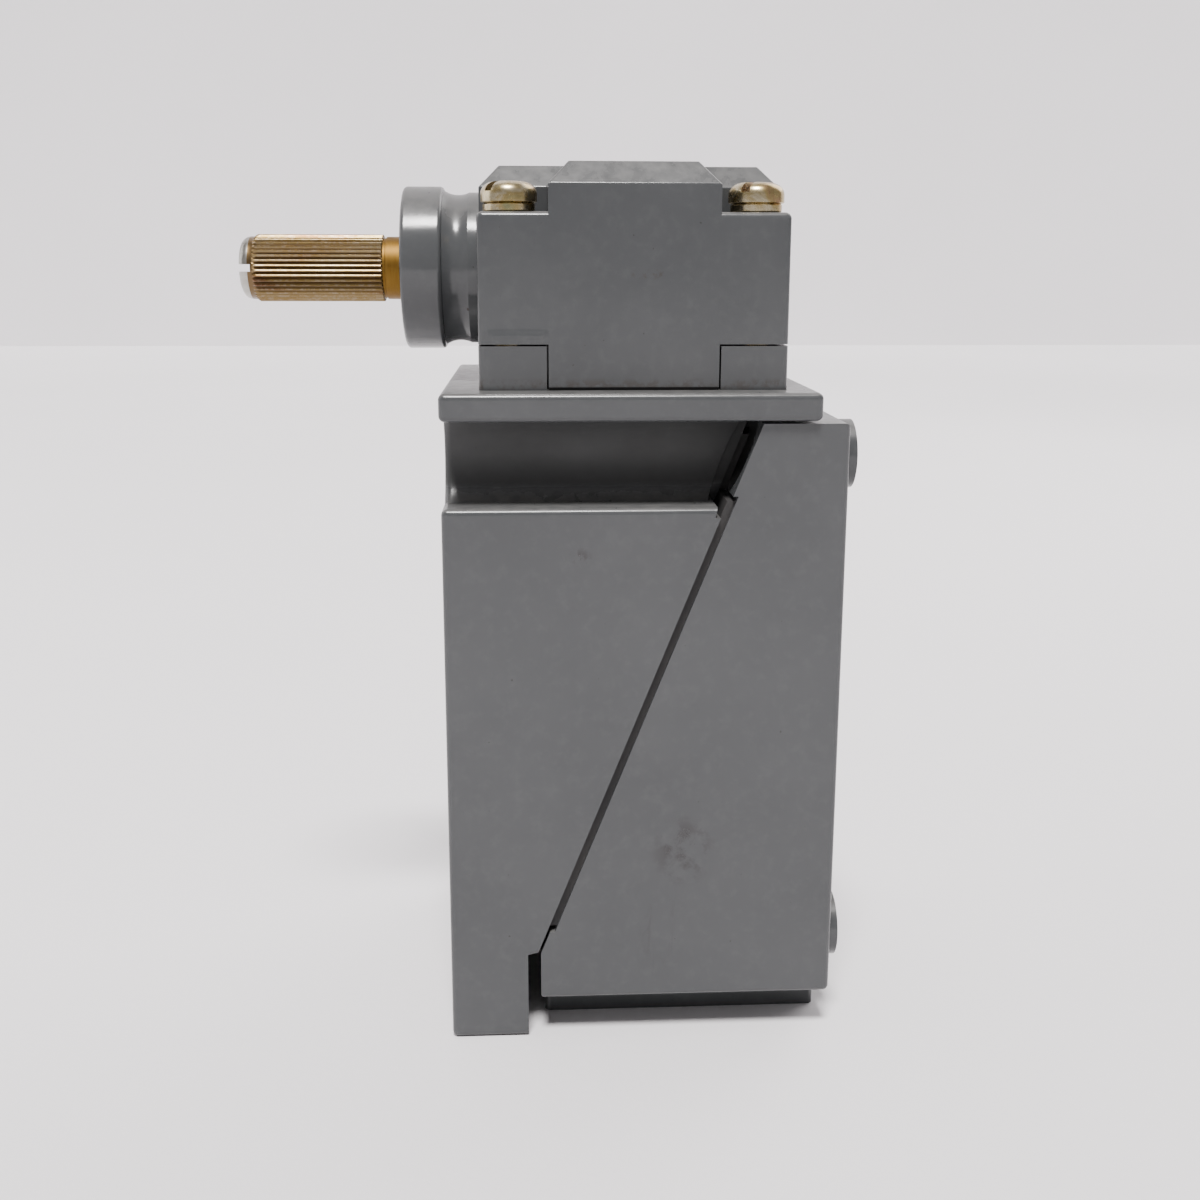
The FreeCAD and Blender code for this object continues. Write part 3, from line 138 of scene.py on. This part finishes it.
# ---------------------------------------------------------------- material building
class Graph:
    """Small helper that builds one procedural material around its Principled shader."""

    def __init__(self, name):
        self.material = bpy.data.materials.new(name)
        self.material.use_nodes = True
        self.tree = self.material.node_tree
        self.shader = self.tree.nodes["Principled BSDF"]
        self.place = self.add("ShaderNodeTexCoord").outputs["Object"]

    def add(self, kind, inputs=(), **settings):
        node = self.tree.nodes.new(kind)
        for key, value in settings.items():
            setattr(node, key, value)
        for key, value in dict(inputs).items():
            self.feed(node.inputs[key], value)
        return node

    def feed(self, socket, value):
        if isinstance(value, bpy.types.NodeSocket):
            self.tree.links.new(value, socket)
        else:
            socket.default_value = value

    def set(self, **values):
        """Shader sockets by name, with underscores for spaces."""
        for key, value in values.items():
            self.feed(self.shader.inputs[key.replace("_", " ")], value)

    def noise(self, scale, detail=3.0, roughness=0.55, distortion=0.0, stretch=None):
        place = self.place
        if stretch:
            place = self.add("ShaderNodeMapping", {"Vector": place, "Scale": stretch}).outputs["Vector"]
        inputs = {"Vector": place, "Scale": scale, "Detail": detail}
        inputs.update({"Roughness": roughness, "Distortion": distortion})
        return self.add("ShaderNodeTexNoise", inputs).outputs["Fac"]

    def math(self, operation, a, b=0.0, clamp=False):
        node = self.add("ShaderNodeMath", operation=operation, use_clamp=clamp)
        self.feed(node.inputs[0], a)
        self.feed(node.inputs[1], b)
        return node.outputs[0]

    def window(self, value, low, high):
        """0 below low, 1 above high, smooth between."""
        inputs = {"Value": value, "From Min": low, "From Max": high}
        node = self.add("ShaderNodeMapRange", inputs, interpolation_type="SMOOTHSTEP")
        return node.outputs["Result"]

    def ramp(self, value, stops):
        node = self.add("ShaderNodeValToRGB", {"Fac": value})
        elements = node.color_ramp.elements
        while len(elements) < len(stops):
            elements.new(0.5)
        for element, (position, colour) in zip(elements, stops):
            element.position = position
            element.color = (*colour, 1.0)
        return node.outputs["Color"]

    def mix(self, amount, first, second):
        node = self.add("ShaderNodeMix", data_type="RGBA")
        colours = [socket for socket in node.inputs if socket.type == "RGBA"]
        self.feed(node.inputs[0], amount)
        for socket, value in zip(colours, (first, second)):
            self.feed(socket, value if isinstance(value, bpy.types.NodeSocket) else (*value, 1.0))
        return [socket for socket in node.outputs if socket.type == "RGBA"][0]

    def bump(self, height, distance, normal=None):
        node = self.add("ShaderNodeBump", {"Height": height, "Distance": distance, "Strength": 1.0})
        if normal:
            self.feed(node.inputs["Normal"], normal)
        return node.outputs["Normal"]

    def near(self, point, radii):
        """1 at a point of the object, falling to 0 at an ellipsoid of these radii round it."""
        node = self.add("ShaderNodeVectorMath", operation="SUBTRACT")
        self.feed(node.inputs[0], self.place)
        self.feed(node.inputs[1], point)
        scaled = self.add("ShaderNodeVectorMath", operation="DIVIDE")
        self.feed(scaled.inputs[0], node.outputs["Vector"])
        self.feed(scaled.inputs[1], radii)
        length = self.add("ShaderNodeVectorMath", operation="LENGTH")
        self.feed(length.inputs[0], scaled.outputs["Vector"])
        return self.math("SUBTRACT", 1.0, length.outputs["Value"], clamp=True)

    def inside(self, low, high, soft):
        """1 inside a box of the object, falling to 0 over the soft distance at its sides."""
        parts = self.add("ShaderNodeSeparateXYZ", {"Vector": self.place}).outputs
        mask = 1.0
        for axis in range(3):
            mask = self.math("MULTIPLY", self.window(parts[axis], low[axis], low[axis] + soft), mask)
            mask = self.math("MULTIPLY", self.window(parts[axis], high[axis], high[axis] - soft), mask)
        return mask

    def off_axis(self, height):
        """Distance from the lever shaft's axis, which lies along Y at this height."""
        flat = self.add("ShaderNodeVectorMath", operation="MULTIPLY")
        self.feed(flat.inputs[0], self.place)
        self.feed(flat.inputs[1], (1.0, 0.0, 1.0))
        away = self.add("ShaderNodeVectorMath", operation="DISTANCE")
        self.feed(away.inputs[0], flat.outputs["Vector"])
        self.feed(away.inputs[1], (0.0, 0.0, height))
        return away.outputs["Value"]

    def facing_up(self):
        """1 where the surface faces straight up, 0 on an upright side, -1 underneath."""
        normal = self.add("ShaderNodeNewGeometry").outputs["Normal"]
        return self.add("ShaderNodeSeparateXYZ", {"Vector": normal}).outputs["Z"]


def floor_material(name, dark, light):
    g = Graph(name)
    green_share = 0.978
    tones = [(at, (level, level * green_share, level)) for at, level in ((0.3, dark), (0.7, light))]
    g.set(Base_Color=g.ramp(g.noise(3.0, 4.0), tones), Roughness=0.75)
    g.set(Normal=g.bump(g.noise(900.0, 2.0), 0.05 * MM))
    return g.material


def patch(g, middle, radii, noise, low, high):
    """A mark round a point of the object, broken up where the noise is low."""
    return g.math("MULTIPLY", g.near(middle, radii), g.window(noise, low, high))


def enamel_colour(g):
    """Two close greys in clouds, with fine paler flecks and patchy painted shade (darkening from ambient
    occlusion) in the tight corners.
    """
    greys = [(0.3, (0.048, 0.0508, 0.0530)), (0.7, (0.058, 0.0608, 0.0630))]
    colour = g.ramp(g.noise(55.0, 5.0, 0.6), greys)
    fleck = g.window(g.noise(700.0, 3.0, 0.6), 0.45, 0.8)
    colour = g.mix(g.math("MULTIPLY", fleck, 0.22), colour, (0.082, 0.085, 0.086))
    corner = g.add("ShaderNodeAmbientOcclusion", {"Distance": 1.0 * MM}, samples=8).outputs["AO"]
    patches = g.window(g.noise(420.0, 5.0, 0.7), 0.35, 0.62)
    # painted shade: the colour darkens where ambient occlusion finds a tight corner, broken into patches by
    # noise
    corner_shade = g.math("MULTIPLY", g.window(corner, 0.75, 0.25), patches)
    return g.mix(g.math("MULTIPLY", corner_shade, 0.34), colour, (0.020, 0.018, 0.015))


def handling_marks(g):
    """A dark smudge and a faint smear low on the receptacle, and a spot high on the switch body."""
    smudge = patch(g, (SIDE_X, -19.5 * MM, -17.0 * MM), (6 * MM, 4.2 * MM, 5 * MM),
                   g.noise(380.0, 5.0, 0.65, 0.2), 0.44, 0.60)
    smear = patch(g, (SIDE_X, -22.0 * MM, -27.0 * MM), (6 * MM, 4.0 * MM, 7 * MM),
                  g.noise(300.0, 5.0, 0.7, 0.8, (1.0, 2.0, 0.5)), 0.52, 0.66)
    spot = patch(g, (SIDE_X, -31.7 * MM, 18.9 * MM), (6 * MM, 1.5 * MM, 1.1 * MM),
                 g.noise(800.0, 4.0, 0.65, 0.4), 0.48, 0.62)
    dark = g.math("ADD", smudge, g.math("MULTIPLY", spot, 0.7), clamp=True)
    return g.math("ADD", g.math("MULTIPLY", dark, 0.95), g.math("MULTIPLY", smear, 0.3), clamp=True)


def seam_dirt(g):
    """Brown dirt along the head's foot, where it stands on the flange."""
    foot = g.inside((-18 * MM, -44 * MM, 37.0 * MM), (18 * MM, -7 * MM, 38.9 * MM), 0.9 * MM)
    return g.math("MULTIPLY", foot, g.window(g.noise(650.0, 5.0, 0.7), 0.42, 0.6))


def neck_painted_shade(g):
    """Dull painted shade all over the neck's hollow sides, between the ledge and the flange."""
    neck = g.inside((-17.4 * MM, -48.4 * MM, 25.6 * MM), (17.4 * MM, -5 * MM, 35.0 * MM), 0.9 * MM)
    cloud = g.math("MULTIPLY", g.noise(90.0, 5.0, 0.65), 0.5)
    return g.math("MULTIPLY", neck, g.math("ADD", cloud, 0.5))


def head_chip(g):
    chip = g.near((7.9 * MM, -44.5 * MM, 45.8 * MM), (0.5 * MM, 0.3 * MM, 0.5 * MM))
    return g.window(chip, 0.1, 0.3)


def head_scratch(g):
    scratch = g.near((HEAD_SIDE_X, -24.0 * MM, 50.2 * MM), (1.0 * MM, 2.4 * MM, 0.7 * MM))
    return g.math("MULTIPLY", g.window(scratch, 0.0, 0.6), g.window(g.noise(520.0, 4.0, 0.7), 0.5, 0.62))


def dust_and_painted_top_light(g):
    # dust and painted light: faces that look up are made paler, as overhead light would light them
    upward = g.window(g.facing_up(), 0.45, 0.80)
    return g.math("MULTIPLY", upward, g.window(g.noise(620.0, 5.0, 0.6), -0.2, 1.1))


def enamel_relief(g):
    """Orange peel in two sizes, and the raised casting mark low on the head's side."""
    peel = g.bump(g.noise(480.0, 1.5, 0.4), 0.016 * MM)
    fine_peel = g.bump(g.noise(1300.0, 2.0, 0.5), 0.009 * MM, peel)
    mark = g.inside((15.0 * MM, -42.0 * MM, 41.7 * MM), (20.0 * MM, -34.9 * MM, 44.2 * MM), 0.8 * MM)
    return g.bump(mark, 0.10 * MM, fine_peel)


def grey_paint():
    """Satin grey enamel on a casting, with a little handling dirt and dust, painted shade in the neck's
    hollow and the tight corners, and painted light on the faces that look up.
    """
    g = Graph("grey_enamel")
    marks = handling_marks(g)
    neck_shade = neck_painted_shade(g)
    top_dust_and_light = dust_and_painted_top_light(g)
    specks = g.window(g.noise(1500.0, 1.0), 0.79, 0.82)
    layers = [
        (marks, 1.0, (0.022, 0.018, 0.018)),
        (seam_dirt(g), 0.75, (0.034, 0.025, 0.018)),
        # painted shade in the neck's hollow under the flange; the same mask also roughens the surface there
        (neck_shade, 0.85, (0.022, 0.022, 0.021)),
        (head_chip(g), 1.0, (0.022, 0.012, 0.008)),
        (head_scratch(g), 0.6, (0.04, 0.03, 0.022)),
        (specks, 0.5, (0.02, 0.018, 0.016)),
        # dust and painted top light on the faces that look up
        (top_dust_and_light, 0.60, (0.150, 0.146, 0.140)),
    ]
    colour = enamel_colour(g)
    for mask, amount, tint in layers:
        colour = g.mix(g.math("MULTIPLY", mask, amount), colour, tint)
    rough = g.math("ADD", g.math("MULTIPLY", g.noise(160.0, 3.0), 0.12), 0.11)
    for mask, amount in ((top_dust_and_light, 0.3), (neck_shade, 0.5), (marks, 0.2)):
        rough = g.math("ADD", rough, g.math("MULTIPLY", mask, amount), clamp=True)
    g.set(Base_Color=colour, Roughness=rough, Specular_IOR_Level=0.38, Normal=enamel_relief(g))
    return g.material


def chromate(name, bright, gold, olive, rust, roughness):
    """Yellow chromate over zinc: metal whose tint wanders between gold, green and rose."""
    g = Graph(name)
    stops = [(0.28, rust), (0.42, gold), (0.54, bright), (0.64, gold), (0.76, olive)]
    g.set(Base_Color=g.ramp(g.noise(240.0, 4.0, 0.6, 0.6), stops), Metallic=1.0)
    scuff = g.noise(900.0, 3.0, 0.6)
    g.set(Roughness=g.math("ADD", g.math("MULTIPLY", scuff, 0.25), roughness))
    g.set(Normal=g.bump(scuff, 0.004 * MM))
    return g.material


def serration_chromate():
    """Old yellow chromate on serrations: worn crests over grooves darkened to brown as painted shade, with
    painted shade underneath.
    """
    g = Graph("serration_chromate")
    low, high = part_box("lever_shaft")
    crest = (high.z - low.z) / 2
    raised = g.window(g.off_axis((low.z + high.z) / 2), crest - 0.30 * MM, crest - 0.05 * MM)
    wander = g.noise(210.0, 4.0, 0.6, 0.6, (1.0, 0.4, 1.0))
    rust = (0.24, 0.11, 0.05)
    gold = (0.30, 0.20, 0.07)
    bright = (0.36, 0.27, 0.13)
    olive = (0.22, 0.20, 0.08)
    film = g.ramp(wander, [(0.30, rust), (0.45, gold), (0.62, bright), (0.75, olive)])
    worn = g.math("MULTIPLY", g.window(g.noise(1700.0, 3.0, 0.7), 0.45, 0.62), raised)
    film = g.mix(g.math("MULTIPLY", worn, 0.45), film, (0.52, 0.43, 0.32))
    # painted shade: the grooves between the crests are darkened to brown
    film = g.mix(raised, (0.17, 0.11, 0.05), film)
    # painted shade: faces that look down are darkened towards dark brown
    underside_shade = g.window(g.facing_up(), 0.55, -0.35)
    g.set(Base_Color=g.mix(g.math("MULTIPLY", underside_shade, 0.55), film, (0.075, 0.055, 0.035)), Metallic=1.0)
    grain = g.noise(900.0, 3.0, 0.6)
    g.set(Roughness=g.math("ADD", g.math("MULTIPLY", grain, 0.25), 0.2))
    g.set(Normal=g.bump(grain, 0.006 * MM))
    return g.material


def plain_metal(name, dark, light, roughness, stretch=None):
    g = Graph(name)
    grain = g.noise(500.0, 4.0, 0.6, 0.0, stretch)
    g.set(Base_Color=g.ramp(grain, [(0.3, dark), (0.7, light)]), Metallic=1.0)
    g.set(Roughness=g.math("ADD", g.math("MULTIPLY", grain, 0.22), roughness))
    g.set(Normal=g.bump(grain, 0.004 * MM))
    return g.material


def moulded(name, dark, light, roughness, grain_depth):
    g = Graph(name)
    tone = g.noise(120.0, 4.0)
    grain = g.noise(1300.0, 2.0)
    g.set(Base_Color=g.ramp(tone, [(0.3, dark), (0.7, light)]))
    g.set(Roughness=g.math("ADD", g.math("MULTIPLY", grain, 0.15), roughness))
    g.set(Normal=g.bump(grain, grain_depth * MM))
    return g.material


def make_materials():
    return {
        "grey_paint": grey_paint(),
        "plated_steel": serration_chromate(),
        "plated_screws": chromate(
            "screw_chromate", bright=(0.56, 0.49, 0.34), gold=(0.40, 0.31, 0.14), olive=(0.27, 0.29, 0.17),
            rust=(0.36, 0.20, 0.13), roughness=0.13
        ),
        "collar_gold": plain_metal(
            "collar_gold", (0.14, 0.07, 0.013), (0.18, 0.105, 0.024), 0.40, (1.0, 6.0, 1.0)
        ),
        "cam_steel": plain_metal("cam_steel", (0.34, 0.34, 0.35), (0.5, 0.5, 0.51), 0.22),
        "spring_steel": plain_metal("spring_steel", (0.30, 0.29, 0.26), (0.46, 0.45, 0.42), 0.2),
        "bronze": plain_metal("oiled_bronze", (0.30, 0.18, 0.08), (0.48, 0.31, 0.15), 0.35),
        "contact_brass": plain_metal("contact_brass", (0.55, 0.40, 0.17), (0.72, 0.54, 0.25), 0.22),
        "silver": plain_metal("contact_silver", (0.70, 0.70, 0.70), (0.84, 0.84, 0.84), 0.14),
        "plate_aluminium": plain_metal(
            "brushed_plate", (0.44, 0.45, 0.46), (0.60, 0.61, 0.62), 0.30, (0.05, 1.0, 3.0)
        ),
        "green_screw": moulded("green_lacquer", (0.03, 0.22, 0.07), (0.05, 0.30, 0.10), 0.3, 0.003),
        "black_rubber": moulded("black_rubber", (0.014, 0.014, 0.015), (0.030, 0.028, 0.027), 0.62, 0.012),
        "black_plastic": moulded(
            "black_moulding", (0.016, 0.016, 0.017), (0.028, 0.028, 0.029), 0.42, 0.006
        ),
        "guide_plastic": moulded("natural_nylon", (0.60, 0.58, 0.50), (0.70, 0.68, 0.60), 0.38, 0.004),
    }


def paint_cad_nodes(materials):
    slots = {part["node"]: part["material_slot"] for part in frame["record"]["subparts"]}
    for name, node in nodes.items():
        node.data.materials.clear()
        node.data.materials.append(materials[slots[name]])


# ---------------------------------------------------------------- mesh building
def link_piece(name, mesh, body, material, stands_for=()):
    piece = bpy.data.objects.new(name, mesh)
    bpy.context.scene.collection.objects.link(piece)
    piece.data.materials.append(material)
    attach(piece, body)
    if stands_for:
        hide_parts(*stands_for)
    return piece


def close_rings(bm, rings):
    """Skins a list of vertex rings, each with the same count, and caps both ends."""
    count = len(rings[0])
    for low, high in zip(rings, rings[1:]):
        for i in range(count):
            j = (i + 1) % count
            bm.faces.new((low[i], low[j], high[j], high[i]))
    bm.faces.new(rings[0][::-1])
    bm.faces.new(rings[-1])


def turned(bm, stations, segments, matrix, wave=None):
    """Solid of revolution about local Z from (z, radius) or (z, radius, groove depth) stations."""
    rings = []
    for station in stations:
        z, radius = station[0], station[1]
        depth = station[2] if len(station) > 2 else 0.0
        ring = []
        for i in range(segments):
            angle = 2 * math.pi * i / segments
            r = radius - depth * (wave(angle) if wave else 0.0)
            ring.append(bm.verts.new(matrix @ Vector((r * math.cos(angle), r * math.sin(angle), z))))
        rings.append(ring)
    close_rings(bm, rings)


def mesh_from(bm, name, smooth_deg=CREASE_DEG):
    bmesh.ops.recalc_face_normals(bm, faces=bm.faces[:])
    mesh = bpy.data.meshes.new(name)
    bm.to_mesh(mesh)
    bm.free()
    mesh.shade_smooth()
    mesh.set_sharp_from_angle(angle=math.radians(smooth_deg))
    return mesh


def carve(piece, cutters):
    """Cuts the cutter meshes out of the piece and keeps the plain result."""
    for cutter in cutters:
        tool = bpy.data.objects.new("cutter", cutter)
        bpy.context.scene.collection.objects.link(tool)
        step = piece.modifiers.new("cut", "BOOLEAN")
        step.operation = "DIFFERENCE"
        step.solver = "EXACT"
        step.object = tool
        bpy.context.view_layer.update()
        result = bpy.data.meshes.new_from_object(piece.evaluated_get(bpy.context.evaluated_depsgraph_get()))
        piece.modifiers.clear()
        piece.data = result
        bpy.data.objects.remove(tool)
    piece.data.shade_smooth()
    piece.data.set_sharp_from_angle(angle=math.radians(CREASE_DEG))


def box_mesh(low, high, matrix=Matrix.Identity(4)):
    bm = bmesh.new()
    bmesh.ops.create_cube(bm, size=1.0)
    size = Vector(high) - Vector(low)
    middle = (Vector(high) + Vector(low)) / 2
    for vert in bm.verts:
        local = Vector((vert.co.x * size.x, vert.co.y * size.y, vert.co.z * size.z)) + middle
        vert.co = matrix @ local
    mesh = bpy.data.meshes.new("cutter")
    bm.to_mesh(mesh)
    bm.free()
    return mesh


# ---------------------------------------------------------------- lever shaft
SHAFT_TEETH = 40
TOOTH_DEPTH = 0.30 * MM
JOURNAL_STEP = 0.26 * MM         # the plain journal is this much smaller in radius than the crests
COLLAR_GROOVE = 0.16 * MM        # groove behind the serrations, below the journal


def tooth_wave(angle):
    """1 in the bottom of a groove, 0 on a crest, straight flanks between."""
    phase = (angle * SHAFT_TEETH / (2 * math.pi)) % 1.0
    return min(1.0, max(0.0, abs(phase - 0.5) * 2.6 - 0.2))


def shaft_stations(tip, seat0, seat1, end, crest):
    """Outline from the rounded tip, over the serrations between seat0 and seat1, to the end."""
    journal = crest - JOURNAL_STEP
    corner = 1.15 * MM
    arc_steps = 6
    stations = []
    for i in range(arc_steps + 1):
        turn = math.pi / 2 * i / arc_steps
        stations.append((tip + corner * (1 - math.cos(turn)), journal - corner + corner * math.sin(turn)))
    stations += [
        (seat0 - 0.08 * MM, journal, 0.0),
        (seat0, crest - 0.22 * MM, 0.0),
        (seat0 + 0.28 * MM, crest, TOOTH_DEPTH * 0.9),
        (seat0 + 0.60 * MM, crest, TOOTH_DEPTH),
        (seat1 - 0.40 * MM, crest, TOOTH_DEPTH),
        (seat1 - 0.10 * MM, crest, TOOTH_DEPTH * 0.9),
        (seat1, crest - 0.16 * MM, 0.10 * MM),
        (seat1 + 0.02 * MM, journal - COLLAR_GROOVE, 0.0),
        (seat1 + 0.30 * MM, journal - COLLAR_GROOVE, 0.0),
        (seat1 + 0.36 * MM, journal - 0.02 * MM, 0.0),
        (seat1 + 0.60 * MM, journal, 0.0),
        (end - 0.3 * MM, journal, 0.0),
        (end, journal - 0.3 * MM, 0.0),
    ]
    return stations


def serrated_shaft(materials):
    """Lever shaft with its serrations, its slotted tip and the plain journal behind them."""
    low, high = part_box("lever_shaft")
    axis_z = (low.z + high.z) / 2
    crest = (high.z - low.z) / 2
    tip = low.y
    seat0 = tip + 1.7 * MM
    seat1 = tip + 17.1 * MM
    along_y = Matrix.Translation((0, 0, axis_z)) @ Matrix.Rotation(-math.pi / 2, 4, "X")
    bm = bmesh.new()
    turned(bm, shaft_stations(tip, seat0, seat1, high.y, crest), SHAFT_TEETH * 8, along_y, tooth_wave)
    mesh = mesh_from(bm, "serrated_shaft", 28.0)
    steel = materials["plated_steel"]
    shaft = link_piece("serrated_shaft", mesh, "lever", steel, ["lever_shaft"])
    slot_half = 0.44 * MM
    slot_depth = 1.5 * MM
    slot_low = (-2 * crest, tip - 1 * MM, axis_z - slot_half)
    slot_high = (2 * crest, tip + slot_depth, axis_z + slot_half)
    carve(shaft, [box_mesh(slot_low, slot_high)])
    shaft.data.materials.append(materials["collar_gold"])
    shaft.data.materials.append(materials["spring_steel"])
    for face in shaft.data.polygons:
        y = face.center.y
        if y > seat1 + 0.02 * MM:
            face.material_index = 1
        elif y < seat0 - 0.5 * MM:
            face.material_index = 2


# ---------------------------------------------------------------- head screws
def pan_stations(tip_z, seat_z, top_z, shank_r, head_r):
    """Screw with a domed pan head, standing on +Z, from tip to crown."""
    rim = 0.9 * MM
    stations = [(tip_z, shank_r * 0.6), (tip_z + 0.5 * MM, shank_r), (seat_z - 0.05 * MM, shank_r)]
    stations += [(seat_z, head_r - 0.18 * MM), (seat_z + 0.1 * MM, head_r), (seat_z + rim, head_r)]
    dome = top_z - seat_z - rim
    steps = 9
    for i in range(1, steps + 1):
        turn = math.pi / 2 * i / steps
        radius = head_r * (0.18 + 0.82 * math.cos(turn) ** 0.62) if i < steps else head_r * 0.12
        stations.append((seat_z + rim + dome * math.sin(turn), radius))
    return stations


def head_screws(materials):
    """Four slotted pan screws, each stopped at its own turn, on split washers."""
    low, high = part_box("head_screws")
    washer_low, washer_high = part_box("head_lock_washers")
    plated = materials["plated_screws"]
    head_r = 3.15 * MM
    shank_r = 1.75 * MM
    slot_half = 0.5 * MM
    slot_depth = 1.15 * MM
    slot_reach = 4 * MM
    xs = (low.x + head_r, high.x - head_r)
    ys = (low.y + head_r, high.y - head_r)
    slot_turns = iter((20, 75, 47, 33))
    stations = pan_stations(low.z, washer_high.z, high.z, shank_r, head_r)
    slot_low = (-slot_reach, -slot_half, high.z - slot_depth)
    slot_high = (slot_reach, slot_half, high.z + 1 * MM)
    screws_bm = bmesh.new()
    washers_bm = bmesh.new()
    cutters = []
    for x in xs:
        for y in ys:
            spot = Matrix.Translation((x, y, 0))
            turned(screws_bm, stations, 72, spot)
            turn = Matrix.Rotation(math.radians(-next(slot_turns)), 4, "Z")
            cutters.append(box_mesh(slot_low, slot_high, spot @ turn))
            split_washer(washers_bm, x, y, washer_low.z, washer_high.z)
    mesh = mesh_from(screws_bm, "pan_head_screws")
    screws = link_piece("pan_head_screws", mesh, "housing", plated, ["head_screws"])
    carve(screws, cutters)
    mesh = mesh_from(washers_bm, "split_lock_washers")
    link_piece("split_lock_washers", mesh, "housing", plated, ["head_lock_washers"])


def split_washer(bm, x, y, z0, z1):
    """Spring washer: a nearly closed turn of square wire with its ends a little out of line."""
    inner, outer = 1.9 * MM, 2.9 * MM
    rise = 0.12 * MM
    thick = z1 - z0 - rise
    steps = 64
    soft = 0.12 * MM
    start_deg, sweep_deg = 208, 344
    rings = []
    for i in range(steps + 1):
        share = i / steps
        angle = math.radians(start_deg + sweep_deg * share)
        base = z0 + rise * share
        top = base + thick
        outline = [
            (inner, base + soft), (inner + soft, base), (outer - soft, base), (outer, base + soft),
            (outer, top - soft), (outer - soft, top), (inner + soft, top), (inner, top - soft),
        ]
        along = Vector((math.cos(angle), math.sin(angle), 0))
        rings.append([bm.verts.new(Vector((x, y, z)) + along * r) for r, z in outline])
    close_rings(bm, rings)


# ---------------------------------------------------------------- conduit thread
def conduit_thread(materials):
    """Ridge of the pipe thread, wound inside the receptacle's entry and faded out at both ends."""
    entry = next(mount for mount in frame["record"]["mounts"] if mount["name"] == "conduit_entry")
    bore = entry["dims"]["r_mm"] * MM
    middle_y = entry["pos_m"][1]
    pitch = 1.814 * MM
    ridge = 0.62 * MM
    buried = 0.03 * MM
    mouth = cad_low.z + 0.9 * MM
    turns = 6
    steps = 60
    fade_steps = 0.5 * steps
    bm = bmesh.new()
    rings = []
    for i in range(turns * steps + 1):
        angle = 2 * math.pi * i / steps
        z = mouth + pitch * i / steps
        fade = min(1.0, i / fade_steps, (turns * steps - i) / fade_steps)
        crest = bore - ridge * max(fade, 0.06)
        profile = [(bore + buried, -0.42), (crest, -0.07), (crest, 0.07), (bore + buried, 0.42)]
        rings.append([
            bm.verts.new((r * math.cos(angle), middle_y + r * math.sin(angle), z + share * pitch))
            for r, share in profile
        ])
    close_rings(bm, rings)
    mesh = mesh_from(bm, "conduit_thread")
    link_piece("conduit_thread", mesh, "housing", materials["grey_paint"])


# ---------------------------------------------------------------- put together
make_camera()
make_studio()
all_materials = make_materials()
paint_cad_nodes(all_materials)
serrated_shaft(all_materials)
head_screws(all_materials)
conduit_thread(all_materials)
